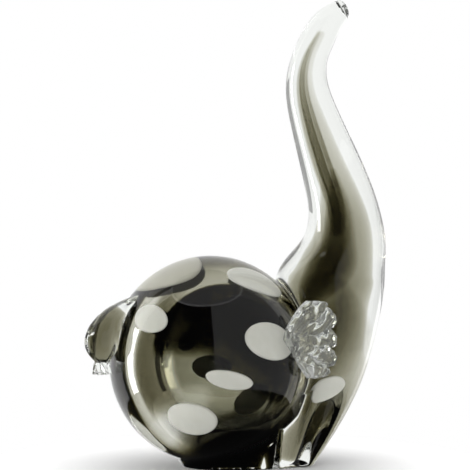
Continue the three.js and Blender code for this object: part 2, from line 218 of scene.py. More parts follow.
# Frilled end of the tail: middle forward and up, half height, radius at its top level and what that gains
# further down, depth of the lobes
FRILL_FORWARD = -66.5
FRILL_MIDDLE = 48.2
FRILL_HALF_HEIGHT = 2.6
FRILL_TOP = 51
FRILL_RADIUS = 3.3
FRILL_FLARE = 0.18
FRILL_LOBE = 0.5

# Tool marks on the tail: depth, number around, and the levels between which they fade out upwards
MARK_DEPTH = 0.22
MARK_COUNT = 6
MARK_LEVELS = (78, 68)

# Smoke in the tail: its share of the tail's radius, and how far it keeps off the body
THREAD_SHARE = 0.6
THREAD_GAP = 0.5

# How far the root of the tail goes into the body
TAIL_SINK = 0.8

# Boxes that the skins are made in, margins round the CAD pieces' own boxes, and the spacing of points
CASING_BOX = ((-63, -46, -2), (79, 46, 222))
DRAWN_BOX = ((5, -22, 0), (70, 22, 208))
TAIL_BOX = ((-78, -11, 43), (-40, 11, 92))
THREAD_BOX = ((-75, -8, 50), (-50, 8, 80))
CHIP_MARGIN = 4
EAR_MARGIN = 2
DRAWN_STEP = 1.2
CHIP_STEP = 0.6
EAR_STEP = 0.5
TAIL_STEP = 0.5
THREAD_STEP = 0.6

# Sheets of the studio seen from the figure, in degrees: turn towards the right from straight behind it, as
# the picture is taken, lift above the table; then brightness seen straight through the glass, where 1 is the
# white background, brightness reflected in the glass, and the light on matt faces
STUDIO_SHEETS = (
    ("right_lamp", 30, 46, -25, 60, 1.0, 2.0, 2.4),
    ("right_flag", 50, 72, -9, 12, 0.35, 0.35, 2.4),
    ("left_flag", -72, -64, -25, 60, 0.15, 0.15, 1.0),
    ("left_strip", -90, -79, -25, 22, 1.0, 14.0, 34.0),
    ("right_panel", 74, 169, -25, 60, 1.0, 0.45, 1.1),
    ("front_flag", 169, 268, -25, 60, 1.0, 0.03, 0.9),
    ("low_flag", 0, 360, -90, -25, 1.0, 0.03, 0.9),
    ("ceiling", 0, 360, 62, 90, 1.0, 0.5, 0.8),
)

# Points across and up a sheet, sides of the round table, and its gap under the figure in millimetres
SHEET_GRID = (48, 24)
TABLE_SIDES = 96
TABLE_GAP = 0.2

# Dark flows out of the smoke ball into the neck and down the chest: middle forward and up, reach
NECK_FLOW = (
    (36, 70, 12),
    (44, 82, 16),
    (50, 91.4, 14.5),
    (53.6, 100.8, 11.5),
    (54.4, 117, 9.5),
    (50, 140, 6),
)
CHEST_FLOW = (
    (52, 85, 10),
    (52.5, 72, 12),
    (48.5, 57, 12),
    (41.5, 42, 11),
    (34, 28, 11),
    (28.5, 10, 9),
)

# Dark ribbons in the smoke: how far behind the middle of their path, half width and half depth, as shares of
# the path's reach, first the flows and then those along the trunk
FLOW_RIBBON = (0.0, 0.62, 0.26)
CHEST_RIBBON = (0.0, 0.75, 0.15)
TRUNK_RIBBONS = (
    (0.2, 0.1, 0.26),
    (0.36, 0.05, 0.2),
    (0.02, 0.04, 0.2),
)

# Rows of FRONT_SECTIONS that the ribbons along the trunk follow, points on a ribbon's path, and the part of a
# half wave that thins its ends
TRUNK_ROWS = slice(6, 13)
RIBBON_POINTS = 60
RIBBON_TAPER = (0.06, 0.97)

MM = 0.001


class ElephantForm(bpy.types.PropertyGroup):
    """Sizes of the figure's glass"""

    skin_step: bpy.props.FloatProperty(
        name="Skin step", description="Spacing of points on the body's skin", default=1.0 * MM, unit="LENGTH"
    )
    nape_fillet: bpy.props.FloatProperty(
        name="Nape fillet", description="Softness of the join of body and neck", default=6 * MM, unit="LENGTH"
    )
    chip_thickness: bpy.props.FloatProperty(
        name="Chip thickness", description="Thickness of a white chip", default=1.5 * MM, unit="LENGTH"
    )
    smoke_layer: bpy.props.FloatProperty(
        name="Smoke layer", description="Thickness round the bubble", default=1.65 * MM, unit="LENGTH"
    )
    # Thickness of the dark caps, which are painted shade on the bubble's upper sides
    shade_cap: bpy.props.FloatProperty(
        name="Shade cap", description="Painted shade on each side of the bubble", default=1.7 * MM, unit="LENGTH"
    )
    smoke_sag: bpy.props.FloatProperty(
        name="Smoke sag", description="Further smoke below the bubble", default=10 * MM, unit="LENGTH"
    )
    ear_ribs: bpy.props.IntProperty(
        name="Ear ribs", description="Ribs pressed into each ear", default=5, min=1
    )
    tail_lobes: bpy.props.IntProperty(
        name="Tail lobes", description="Lobes of the frilled end of the tail", default=7, min=3
    )


class ElephantGlass(bpy.types.PropertyGroup):
    """Colours and optics of the figure's glass"""

    clear_colour: bpy.props.StringProperty(
        name="Clear glass", description="Colour of the casing as sRGB hex", default="#F8FAF7"
    )
    opal_colour: bpy.props.StringProperty(
        name="Opal glass", description="Colour of the white chips as sRGB hex", default="#F2F1EA"
    )
    # Greyer opal for one chip: painted shade for a white chip that lies in shadow behind the smoke
    shaded_opal_colour: bpy.props.StringProperty(
        name="Shaded opal", description="Colour of the chip in painted shade as sRGB hex", default="#B7B4A5"
    )
    smoke_colour: bpy.props.StringProperty(
        name="Smoke glass", description="Colour that the smoke lets through as sRGB hex", default="#AFAB8E"
    )
    smoke_density: bpy.props.FloatProperty(
        name="Smoke density", description="Absorption of the smoke layer for each metre", default=700
    )
    # Dense absorption of the caps: painted shade, not a darker smoke in the glass
    cap_density: bpy.props.FloatProperty(
        name="Cap density", description="Absorption of the dark caps for each metre", default=2900
    )
    drawn_density: bpy.props.FloatProperty(
        name="Drawn density", description="Absorption of the drawn-out smoke for each metre", default=120
    )
    ribbon_density: bpy.props.FloatProperty(
        name="Ribbon density", description="Absorption of the dark ribbons for each metre", default=800
    )
    thread_density: bpy.props.FloatProperty(
        name="Thread density", description="Absorption of the smoke in the tail for each metre", default=350
    )
    # What isn't clear of the ears is milky white: painted sheen for the bright reflections of their ribs
    ear_clear_share: bpy.props.FloatProperty(
        name="Ear clear share", description="Clear share of the ear glass, the rest a milky painted sheen", default=0.92
    )
    glass_ior: bpy.props.FloatProperty(
        name="Glass IOR", description="Index of refraction of soda-lime glass", default=1.5
    )


class ElephantStage(bpy.types.PropertyGroup):
    """Camera and studio"""

    turn: bpy.props.FloatProperty(
        name="Turn", description="How far the camera stands behind the side", default=math.radians(-22),
        subtype="ANGLE"
    )
    lift: bpy.props.FloatProperty(
        name="Lift", description="How far the camera looks down", default=math.radians(3), subtype="ANGLE"
    )
    distance: bpy.props.FloatProperty(
        name="Distance", description="Camera to figure", default=1.355, unit="LENGTH"
    )
    aim_height: bpy.props.FloatProperty(
        name="Aim height", description="Height that the camera looks at", default=0.109, unit="LENGTH"
    )
    lens: bpy.props.FloatProperty(
        name="Lens", description="Focal length in millimetres", default=220
    )
    table_radius: bpy.props.FloatProperty(
        name="Table radius", description="Radius of the round table", default=0.12, unit="LENGTH"
    )
    room: bpy.props.FloatProperty(
        name="Room", description="Distance of the studio sheets", default=8, unit="LENGTH"
    )


# Fields: negative inside the glass, about the distance to its face in millimetres


def smooth_curve(rows):
    """Natural cubic curve through rows of values, over the distance between their first two values"""
    rows = np.array(rows, float)
    gaps = np.hypot(*np.diff(rows[:, :2], axis=0).T)
    knots = np.concatenate([[0], np.cumsum(gaps)])
    count = len(rows)
    matrix = np.eye(count)
    rise = np.zeros_like(rows)
    for i in range(1, count - 1):
        matrix[i, i - 1 : i + 2] = gaps[i - 1], 2 * (gaps[i - 1] + gaps[i]), gaps[i]
        rise[i] = 6 * ((rows[i + 1] - rows[i]) / gaps[i] - (rows[i] - rows[i - 1]) / gaps[i - 1])
    bend = np.linalg.solve(matrix, rise)

    def at(place):
        i = np.clip(np.searchsorted(knots, place) - 1, 0, count - 2)
        gap = gaps[i][..., None]
        b = (place - knots[i])[..., None] / gap
        a = 1 - b
        value = a * rows[i] + b * rows[i + 1]
        value = value + ((a**3 - a) * bend[i] + (b**3 - b) * bend[i + 1]) * gap**2 / 6
        slope = (rows[i + 1] - rows[i]) / gap
        slope = slope + ((3 * b**2 - 1) * bend[i + 1] - (3 * a**2 - 1) * bend[i]) * gap / 6
        return value, slope

    return rows, knots, at


def oval_distance(shares, sizes):
    """About the distance to an oval, from the shares of its half sizes that a point lies at"""
    reach = np.sqrt(sum(share**2 for share in shares)) + 1e-9
    steep = np.sqrt(sum((share / size) ** 2 for share, size in zip(shares, sizes))) + 1e-9
    return reach * (reach - 1) / steep


def ball_field(ball, x, y, z):
    (cx, cy, cz), sizes = ball
    return oval_distance(((x - cx) / sizes[0], (y - cy) / sizes[1], (z - cz) / sizes[2]), sizes)


def loft_field(sections, bulge, x, y, z):
    """Oval sections along a curve in the middle plane, with domed ends"""
    rows, knots, at = smooth_curve(sections)
    order = np.argsort(rows[:, 1])
    x, z = np.broadcast_arrays(x, z)
    place = np.interp(z, rows[order, 1], knots[order])
    for _ in range(7):
        value, slope = at(place)
        lean = np.radians(value[..., 4])
        turn = np.radians(slope[..., 4])
        ahead = (x - value[..., 0]) * np.sin(lean) + (z - value[..., 1]) * np.cos(lean)
        across = (x - value[..., 0]) * np.cos(lean) - (z - value[..., 1]) * np.sin(lean)
        pace = slope[..., 0] * np.sin(lean) + slope[..., 1] * np.cos(lean) - across * turn
        place = np.clip(place + ahead / np.maximum(pace, 0.3), 0, knots[-1])
    half, depth = np.maximum(value[..., 2], 0.5), np.maximum(value[..., 3], 0.5)
    return oval_distance((across / half, y / depth, ahead / bulge), (half, depth, bulge))


def smooth_union(a, b, softness):
    share = np.clip(0.5 + 0.5 * (b - a) / softness, 0, 1)
    return b + (a - b) * share - softness * share * (1 - share)


def smooth_cut(a, b, softness):
    """What is inside a and outside b"""
    return -smooth_union(-a, b, softness)


def feet_field(x, y, z):
    """Block of the hind feet under the body ball"""
    share = np.clip(z / BODY_BALL[0][2], -0.1, 0.7)
    long, deep = (size + flare * share for size, flare in zip(FEET_SIZE, FEET_FLARE))
    return np.maximum(oval_distance(((x - FEET_FORWARD) / long, y / deep), (long, deep)), z - FEET_TOP)


def slit_field(x, y, z):
    """Slit between the hind and the front feet, arched over its middle"""
    middle = SLIT_FORWARD + SLIT_LEAN * z / SLIT_HEIGHT
    width = SLIT_HALF_WIDTH - SLIT_TAPER * np.clip(z / SLIT_HEIGHT, 0, 1)
    above = np.maximum(z - SLIT_SHOULDER, 0)
    slit = oval_distance(((x - middle) / width, above / width), (width, width))
    return np.maximum(slit, SLIT_COVER - ball_field(SMOKE_BALL, x, y, z))


def outer_field(x, y, z):
    """Body, feet, neck and trunk, ground flat below"""
    fillet = bpy.context.scene.elephant_form.nape_fillet / MM
    body = smooth_union(ball_field(BODY_BALL, x, y, z), feet_field(x, y, z), FEET_JOIN)
    body = smooth_union(body, loft_field(FRONT_SECTIONS, FRONT_BULGE, x, y, z), fillet)
    return smooth_cut(body, z, BASE_EDGE)


def nostril_field(x, y, z):
    """Two dents in the end of the trunk"""
    end_x, end_z, _, _, lean = FRONT_SECTIONS[-1]
    sin, cos = math.sin(math.radians(lean)), math.cos(math.radians(lean))
    along = (x - end_x) * sin + (z - end_z) * cos
    across = (x - end_x) * cos - (z - end_z) * sin
    dents = np.hypot(across, np.abs(y) - NOSTRIL_SPREAD) - NOSTRIL_RADIUS
    return np.maximum(dents, -NOSTRIL_DEPTH - along)


def casing_field(x, y, z):
    """Clear glass between the outer face and the air bubble"""
    outside = smooth_cut(outer_field(x, y, z), slit_field(x, y, z), FINE_EDGE)
    outside = smooth_cut(outside, nostril_field(x, y, z), NOSTRIL_EDGE)
    return np.maximum(outside, -ball_field(AIR_BUBBLE, x, y, z))


def ease(low, high, value):
    """Smooth rise from 0 to 1 between two values"""
    share = np.clip((value - low) / (high - low), 0, 1)
    return share * share * (3 - 2 * share)


def gather_layer(away):
    """Thickness of the smoke round the air bubble in millimetres, for unit directions from its middle"""
    form = bpy.context.scene.elephant_form
    far, ahead, up = away @ FAR_WAY, away @ AHEAD_WAY, away[..., 2]
    lower = ease(*SAG_RANGE, -up + SAG_BEHIND * np.minimum(ahead, 0))
    bare_top = TOP_BARE * ease(*TOP_RANGES[0], up) * ease(*TOP_RANGES[1], far)
    bare_rear = REAR_BARE * ease(*REAR_RANGES[0], -up) * ease(*REAR_RANGES[1], -ahead)
    bare_rump = RUMP_BARE * ease(*RUMP_RANGES[0], np.abs(far)) * ease(*RUMP_RANGES[1], -ahead)
    layer = form.smoke_layer * (1 - np.maximum(bare_top + bare_rear, bare_rump))
    return (layer + form.smoke_sag * lower) / MM


def cap_layer(away):
    """Thickness of the dark caps on the upper part of the bubble's two sides, in millimetres; their dense
    absorption is painted shade
    """
    side, ahead, up = np.abs(away @ FAR_WAY), away @ AHEAD_WAY, away[..., 2]
    upper = ease(*CAP_RANGES[0], up - CAP_LEVEL + CAP_DIP * np.maximum(ahead - CAP_DIP_FROM, 0))
    sideways = ease(*CAP_RANGES[1], side + CAP_LEAN * up)
    return bpy.context.scene.elephant_form.shade_cap / MM * upper * sideways


def hanging_field(x, y, z):
    """Smoke that hangs from the bubble into the hind feet"""
    long, deep = HANGING_SIZE
    low, high = HANGING_LEVELS
    oval = oval_distance(((x - HANGING_FORWARD) / long, y / deep), HANGING_SIZE)
    return np.maximum(oval, np.maximum(low - z, z - high))


def gather_reach(away, start):
    """How far the smoke goes beyond the bubble: its layer, and what hangs from it, inside the casing"""
    layer = gather_layer(away)
    near, far = np.full(len(away), THINNEST_LAYER), np.full(len(away), LONGEST_LAYER)
    for _ in range(14):
        half = (near + far) / 2
        x, y, z = (np.array(AIR_BUBBLE[0]) + away * (start + half)[:, None]).T
        smoke = smooth_union(half - layer, hanging_field(x, y, z), SMOKE_JOIN)
        outside = np.maximum(outer_field(x, y, z), -slit_field(x, y, z))
        inside = np.maximum(smoke, outside + CASING_COVER) < 0
        near, far = np.where(inside, half, near), np.where(inside, far, half)
    return near


def cap_reach(away, start):
    """How far a dark cap goes beyond the bubble, wherever the bubble starts"""
    return THINNEST_CAP + cap_layer(away)


def bubble_shell(reach, gap, columns=160, rows=80):
    """Points and faces of a layer round the bubble, from a gap off it to a reach for each direction"""
    middle, sizes = (np.array(part) for part in AIR_BUBBLE)
    lift, turn = np.meshgrid(
        np.linspace(-0.499, 0.499, rows) * np.pi, np.arange(columns) * 2 * np.pi / columns, indexing="ij"
    )
    level = np.cos(lift)
    away = np.stack([np.cos(turn) * level, np.sin(turn) * level, np.sin(lift)], -1).reshape(-1, 3)
    start = 1 / np.linalg.norm(away / sizes, axis=1)
    outside = middle + away * (start + reach(away, start))[:, None]
    points = np.concatenate([outside, middle + away * (start + gap)[:, None]])
    quads = []
    for row in range(rows - 1):
        for column in range(columns):
            low, step = row * columns + column, (column + 1) % columns - column
            quads.append((low, low + step, low + columns + step, low + columns))
    caps = [tuple(range(columns))[::-1], tuple(range((rows - 1) * columns, rows * columns))]
    outer = quads + caps
    inner = [tuple(corner + len(away) for corner in face[::-1]) for face in outer]
    return points, outer + inner


def drawn_field(x, y, z):
    """Smoke drawn out of that layer into the trunk and the chest"""
    trunk = loft_field(TRUNK_SMOKE, TRUNK_BULGE, x, y, z)
    drawn = smooth_union(trunk, loft_field(CHEST_SMOKE, CHEST_BULGE, x, y, z), SMOKE_JOIN)
    return np.maximum(drawn, GATHER_GAP - ball_field(SMOKE_BALL, x, y, z))


def ear_beads(across, up, ribs):
    """Round ribs that fan out to the front: 1 on the back of a rib, near 0 between two"""
    spread = np.arctan2(up, across + FAN_ROOT) / FAN_SPREAD + 0.5
    rib = 2 * np.mod(ribs * spread + FAN_WANDER * np.sin(0.5 * across), 1) - 1
    return np.sqrt(1 - 0.98 * rib**2)


def ear_reach(across, up, beads):
    """Distance of the ear's outline from its middle: scalloped in front and pointed at the rear"""
    angle = np.arctan2(up, across)
    front = np.maximum(np.cos(angle), 0)
    front_power, low_power, high_power = EAR_POWERS
    power = np.where(front > 0, front_power, np.where(up < 0, low_power, high_power))
    oval = np.abs(np.cos(angle) / EAR_SIZE[0]) ** power + np.abs(np.sin(angle) / EAR_SIZE[1]) ** power
    return oval ** (-1 / power) + FAN_SCALLOP * (beads - 0.7) * front


def ear_height(across, up, share, beads):
    """How far the ear's face stands out: ribs in front, and a crumpled hollow with a lip at the rear"""
    fan = ease(-5, 7, across - 0.5 * np.minimum(up + 2, 0))
    knots = np.sin(1.1 * across + 2 * np.sin(0.5 * up)) * np.sin(0.9 * up - 0.5 * across)
    lip = np.exp(-(((share - LIP_PLACE) / LIP_WIDTH) ** 2))
    ribs = RIB_HEIGHT * beads - RIB_PRESS + RIB_CRUMPLE * knots
    hollow = HOLLOW_CRUMPLE * knots * share + EAR_LIP * lip
    dome = EAR_EDGE + EAR_DOME * np.sqrt(np.clip(1 - share**2, 0, 1))
    return np.clip(dome + (ribs * fan + hollow * (1 - fan)), *EAR_LEVELS)


def skin(field, low, high, step):
    """Points and faces of the closed skin where a field is zero, in a box"""
    axes = [np.arange(a, b + step, step) for a, b in zip(low, high)]
    inside = field(axes[0][:, None, None], axes[1][None, :, None], axes[2][None, None, :]) < 0
    cells = tuple(n - 1 for n in inside.shape)
    filled = sum(
        inside[tuple(slice(s, s + n) for s, n in zip(shift, cells))].astype(np.int8)
        for shift in product((0, 1), repeat=3)
    )
    mixed = (filled > 0) & (filled < 8)
    number = np.full(cells, -1)
    number[mixed] = np.arange(mixed.sum())
    points = np.stack([axis[i] for axis, i in zip(axes, np.nonzero(mixed))], -1) + step / 2
    faces = []
    for axis in range(3):
        solid = np.moveaxis(inside, axis, 0)[:, 1:-1, 1:-1]
        index = np.moveaxis(number, axis, 0)
        i, j, k = np.nonzero(solid[:-1] != solid[1:])
        ring = np.stack([index[i, j, k], index[i, j + 1, k], index[i, j + 1, k + 1], index[i, j, k + 1]], -1)
        outward = solid[:-1][i, j, k] != (axis == 1)
        faces.append(np.where(outward[:, None], ring, ring[:, ::-1]))
    faces = np.concatenate(faces)
    for _ in range(3):
        points = settle(field, relax(points, faces))
    return points, faces


def relax(points, faces):
    """Each point moved halfway to the middle of its neighbours"""
    total = np.zeros_like(points)
    count = np.zeros(len(points))
    for near, far in product(range(4), repeat=2):
        if (near - far) % 2 == 1:
            np.add.at(total, faces[:, near], points[faces[:, far]])
            np.add.at(count, faces[:, near], 1)
    return (points + total / count[:, None]) / 2


def slope_of(field, points):
    tiny = 0.02
    sides = [np.array(v) * tiny for v in ((1, 0, 0), (0, 1, 0), (0, 0, 1))]
    rise = [field(*(points + s).T) - field(*(points - s).T) for s in sides]
    return np.stack(rise, -1) / (2 * tiny)


def settle(field, points):
    """Points moved onto the zero level of a field"""
    for _ in range(3):
        slope = slope_of(field, points)
        push = field(*points.T) / np.maximum((slope**2).sum(-1), 0.05)
        points = points - np.clip(push, -1, 1)[:, None] * slope
    return points


def plain_piece(name, points, faces, material):
    """Smooth mesh object in metres from points in millimetres"""
    mesh = bpy.data.meshes.new(name)
    mesh.from_pydata((points * MM).tolist(), [], list(faces))
    mesh.polygons.foreach_set("use_smooth", np.ones(len(faces), bool))
    mesh.materials.append(material)
    piece = bpy.data.objects.new(name, mesh)
    bpy.context.scene.collection.objects.link(piece)
    return piece


def glass_piece(name, points, faces, field, material):
    """Mesh object with the field's own smooth normals"""
    piece = plain_piece(name, points, faces.tolist(), material)
    normals = slope_of(field, points)
    normals /= np.linalg.norm(normals, axis=1)[:, None] + 1e-12
    piece.data.normals_split_custom_set_from_vertices(normals.tolist())
    return piece


# Materials


def linear(hex_colour):
    """Linear RGBA of an sRGB hex colour"""
    parts = [int(hex_colour[i : i + 2], 16) / 255 for i in (1, 3, 5)]
    return (*[c / 12.92 if c <= 0.04045 else ((c + 0.055) / 1.055) ** 2.4 for c in parts], 1)


def add_node(tree, kind, settings=(), values=(), links=()):
    """Node with its settings, socket values and links into it"""
    node = tree.nodes.new(kind)
    for name, value in dict(settings).items():
        setattr(node, name, value)
    for name, value in dict(values).items():
        node.inputs[name].default_value = value
    for name, source in dict(links).items():
        tree.links.new(source, node.inputs[name])
    return node


def new_material(name):
    material = bpy.data.materials.new(name)
    material.use_nodes = True
    tree = material.node_tree
    tree.nodes.clear()
    return material, tree, add_node(tree, "ShaderNodeOutputMaterial")


def object_noise(tree, size_mm, detail):
    """Noise whose blobs are about a size across"""
    place = add_node(tree, "ShaderNodeTexCoord").outputs["Object"]
    values = {"Scale": 1 / (size_mm * MM), "Detail": detail}
    return add_node(tree, "ShaderNodeTexNoise", values=values, links={"Vector": place}).outputs["Fac"]


def clear_glass(name="clear_glass_fire_polished", clear=1.0):
    """Soda-lime glass, worked by hand, with slow waves from the tools; what isn't clear of it is milky white,
    which on the ears is painted sheen for the bright reflections of their ribs
    """
    look = bpy.context.scene.elephant_glass
    material, tree, output = new_material(name)
    waves = object_noise(tree, 14, 1)
    bump = add_node(
        tree, "ShaderNodeBump", values={"Strength": 0.15, "Distance": 0.3 * MM}, links={"Height": waves}
    )
    shader = add_node(
        tree,
        "ShaderNodeBsdfPrincipled",
        values={
            "Base Color": linear(look.clear_colour),
            "Roughness": 0.0,
            "IOR": look.glass_ior,
            "Transmission Weight": clear,
        },
        links={"Normal": bump.outputs["Normal"]},
    )
    tree.links.new(shader.outputs["BSDF"], output.inputs["Surface"])
    return material


def smoke_glass(name, density):
    """Grey glass fused under the clear: its face bends no light, and its body takes the light away"""
    look = bpy.context.scene.elephant_glass
    material, tree, output = new_material(name)
    shader = add_node(
        tree,
        "ShaderNodeBsdfPrincipled",
        values={"Base Color": (1, 1, 1, 1), "Roughness": 0.0, "IOR": 1.0, "Transmission Weight": 1.0},
    )
    body = add_node(
        tree,
        "ShaderNodeVolumeAbsorption",
        values={"Color": linear(look.smoke_colour), "Density": density},
    )
    tree.links.new(shader.outputs["BSDF"], output.inputs["Surface"])
    tree.links.new(body.outputs["Volume"], output.inputs["Volume"])
    return material


def opal_glass(name, pale, deep):
    """Opaque glass chip, softened by the heat, with a cloud of two near tones"""
    material, tree, output = new_material(name)
    cloud = object_noise(tree, 5, 3)
    colour = add_node(
        tree,
        "ShaderNodeMix",
        settings={"data_type": "RGBA"},
        links={"Factor": cloud},
    )
    colour.inputs[6].default_value = linear(deep)
    colour.inputs[7].default_value = linear(pale)
    shader = add_node(
        tree,
        "ShaderNodeBsdfPrincipled",
        values={"Roughness": 0.4, "IOR": 1.5},
        links={"Base Color": colour.outputs[2]},
    )
    tree.links.new(shader.outputs["BSDF"], output.inputs["Surface"])
    return material


# Geometry Nodes


def ribbon_tree():
    """Thin-edged ribbon along a path in the middle plane, as wide and deep as shares of the path's reach"""
    tree = bpy.data.node_groups.new("trunk_ribbon", "GeometryNodeTree")
    sides = {"Geometry": "NodeSocketGeometry", "Material": "NodeSocketMaterial"}
    sides.update({name: "NodeSocketFloat" for name in ("Offset", "Half width", "Half depth")})
    for name, kind in sides.items():
        tree.interface.new_socket(name, in_out="INPUT", socket_type=kind)
    tree.interface.new_socket("Geometry", in_out="OUTPUT", socket_type="NodeSocketGeometry")
    given = add_node(tree, "NodeGroupInput").outputs
    path = add_node(tree, "GeometryNodeMeshToCurve", links={"Mesh": given["Geometry"]})
    reach = add_node(tree, "GeometryNodeInputNamedAttribute", values={"Name": "reach"}).outputs["Attribute"]
    along = add_node(tree, "GeometryNodeInputTangent").outputs["Tangent"]
    behind = add_node(
        tree, "ShaderNodeVectorMath", {"operation": "CROSS_PRODUCT"}, {1: (0, 1, 0)}, {0: along}
    ).outputs["Vector"]
    share = add_node(
        tree, "ShaderNodeMath", {"operation": "MULTIPLY"}, links={0: reach, 1: given["Offset"]}
    ).outputs["Value"]
    shift = add_node(
        tree, "ShaderNodeVectorMath", {"operation": "SCALE"}, links={0: behind, "Scale": share}
    ).outputs["Vector"]
    moved = add_node(
        tree, "GeometryNodeSetPosition", links={"Geometry": path.outputs["Curve"], "Offset": shift}
    ).outputs["Geometry"]
    turned = add_node(
        tree, "GeometryNodeSetCurveNormal", {"mode": "FREE"}, {"Normal": (0, 1, 0)}, {"Curve": moved}
    ).outputs["Curve"]
    ring = add_node(tree, "GeometryNodeCurvePrimitiveCircle", values={"Resolution": 4, "Radius": 1.0})
    size = add_node(
        tree,
        "ShaderNodeCombineXYZ",
        values={"Z": 1.0},
        links={"X": given["Half depth"], "Y": given["Half width"]},
    ).outputs["Vector"]
    oval = add_node(
        tree, "GeometryNodeTransform", links={"Geometry": ring.outputs["Curve"], "Scale": size}
    ).outputs["Geometry"]
    skin = add_node(
        tree,
        "GeometryNodeCurveToMesh",
        values={"Fill Caps": True},
        links={"Curve": turned, "Profile Curve": oval, "Scale": reach},
    ).outputs["Mesh"]
    plain = add_node(tree, "GeometryNodeRealizeInstances", links={"Geometry": skin}).outputs["Geometry"]
    done = add_node(
        tree, "GeometryNodeSetMaterial", links={"Geometry": plain, "Material": given["Material"]}
    ).outputs["Geometry"]
    add_node(tree, "NodeGroupOutput", links={"Geometry": done})
    return tree


def grown(name, mesh, tree, values):
    """Plain mesh object of what a tree makes from a mesh, with the tree's named inputs set"""
    seed = bpy.data.objects.new(name + "_path", mesh)
    bpy.context.scene.collection.objects.link(seed)
    modifier = seed.modifiers.new("nodes", "NODES")
    modifier.node_group = tree
    for item in tree.interface.items_tree:
        if item.in_out == "INPUT" and item.name in values:
            modifier[item.identifier] = values[item.name]
    result = seed.evaluated_get(bpy.context.evaluated_depsgraph_get())
    plain = bpy.data.meshes.new_from_object(result)
    bpy.data.objects.remove(seed)
    plain.name = name
    piece = bpy.data.objects.new(name, plain)
    bpy.context.scene.collection.objects.link(piece)
    return piece


def smoke_ribbon(name, rows, shares, material):
    """Dark ribbon along a smooth path in the middle plane, with thin ends"""
    _, knots, at = smooth_curve(rows)
    spots, _ = at(np.linspace(0, knots[-1], RIBBON_POINTS))
    taper = np.sin(np.pi * np.linspace(*RIBBON_TAPER, RIBBON_POINTS)) ** 0.5
    path = bpy.data.meshes.new(name + "_path")
    points = [(x * MM, 0, z * MM) for x, z in spots[:, :2]]
    path.from_pydata(points, [(i, i + 1) for i in range(RIBBON_POINTS - 1)], [])
    path.attributes.new("reach", "FLOAT", "POINT").data.foreach_set("value", spots[:, 2] * taper * MM)
    values = dict(zip(("Offset", "Half width", "Half depth"), shares)) | {"Material": material}
    piece = grown(name, path, ribbon_tree(), values)
    piece.data.polygons.foreach_set("use_smooth", [True] * len(piece.data.polygons))
    return piece


# Pieces


class ELEPHANT_OT_clear_casing(bpy.types.Operator):
    """Clear casing with the air bubble blown inside it"""

    bl_idname = "elephant.clear_casing"
    bl_label = "Clear casing"

    def execute(self, context):
        step = context.scene.elephant_form.skin_step / MM
        points, faces = skin(casing_field, *CASING_BOX, step)
        piece = glass_piece("clear_casing_skin", points, faces, casing_field, clear_glass())
        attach(piece, "root")
        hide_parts("clear_casing")
        return {"FINISHED"}


class ELEPHANT_OT_smoke_core(bpy.types.Operator):
    """Smoke gather round the bubble, drawn out into the trunk"""

    bl_idname = "elephant.smoke_core"
    bl_label = "Smoke core"

    def execute(self, context):
        look = context.scene.elephant_glass
        layer = smoke_glass("smoke_glass_layer", look.smoke_density)
        drawn = smoke_glass("smoke_glass_drawn", look.drawn_density)
        dark = smoke_glass("smoke_glass_ribbon", look.ribbon_density)
        # The caps are painted shade: a dense dark layer where the bubble's upper half looks dark from how
        # light passes through it
        cap = smoke_glass("painted_shade_cap_glass", look.cap_density)
        pieces = [plain_piece("smoke_core_gather", *bubble_shell(gather_reach, GATHER_GAP), layer)]
        pieces.append(plain_piece("smoke_core_painted_shade_caps", *bubble_shell(cap_reach, CAP_GAP), cap))
        points, faces = skin(drawn_field, *DRAWN_BOX, DRAWN_STEP)
        pieces.append(glass_piece("smoke_core_drawn", points, faces, drawn_field, drawn))
        trunk = [row[:3] for row in FRONT_SECTIONS[TRUNK_ROWS]]
        pieces.append(smoke_ribbon("smoke_core_neck_flow", NECK_FLOW, FLOW_RIBBON, dark))
        pieces.append(smoke_ribbon("smoke_core_chest_flow", CHEST_FLOW, CHEST_RIBBON, dark))
        for number, shares in enumerate(TRUNK_RIBBONS):
            pieces.append(smoke_ribbon(f"smoke_core_ribbon_{number + 1}", trunk, shares, dark))
        for piece in pieces:
            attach(piece, "root")
            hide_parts("smoke_core")
        return {"FINISHED"}


class ELEPHANT_OT_white_spots(bpy.types.Operator):
    """White chips lying in the face of the smoke gather"""

    bl_idname = "elephant.white_spots"
    bl_label = "White spots"

    def execute(self, context):
        look = context.scene.elephant_glass
        white = opal_glass("opal_glass_chip", look.opal_colour, "#E4E2D8")
        # The greyer opal, given to spot_left_back, is painted shade for a white chip seen in shadow through
        # the smoke
        painted_shade_opal = opal_glass("opal_glass_painted_shade_chip", look.shaded_opal_colour, "#A9A696")
        for name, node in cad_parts.items():
            if name.startswith("spot_"):
                material = painted_shade_opal if name == "spot_left_back" else white
                self.chip(name, node, material, context.scene.elephant_form.chip_thickness / MM)
        return {"FINISHED"}

    def chip(self, name, node, material, thickness):
        """Oval chip as long and as wide as its node, bent to the face of the smoke"""
        corners = np.array([v.co for v in node.data.vertices]) / MM
        middle = corners.mean(0)
        long, short, _ = np.linalg.svd(corners - middle, full_matrices=False)[2]
        half_long = np.abs((corners - middle) @ long).max()
        half_short = np.abs((corners - middle) @ short).max()

        def field(x, y, z):
            x, y, z = np.broadcast_arrays(x, y, z)
            away = np.stack([x, y, z], -1) - middle
            shares = (away @ long / half_long, away @ short / half_short)
            oval = oval_distance(shares, (half_long, half_short))
            if name == "spot_right_chest":
                depth = loft_field(CHEST_SMOKE, CHEST_BULGE, x, y, z)
            else:
                depth = ball_field(SMOKE_BALL, x, y, z)
            flat = np.abs(depth + thickness / 2 - CHIP_PROUD) - thickness / 2
            return smooth_cut(oval, -flat, FINE_EDGE)

        low, high = corners.min(0) - CHIP_MARGIN, corners.max(0) + CHIP_MARGIN
        points, faces = skin(field, low, high, CHIP_STEP)
        piece = glass_piece(name + "_chip", points, faces, field, material)
        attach(piece, "root")
        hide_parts(name)


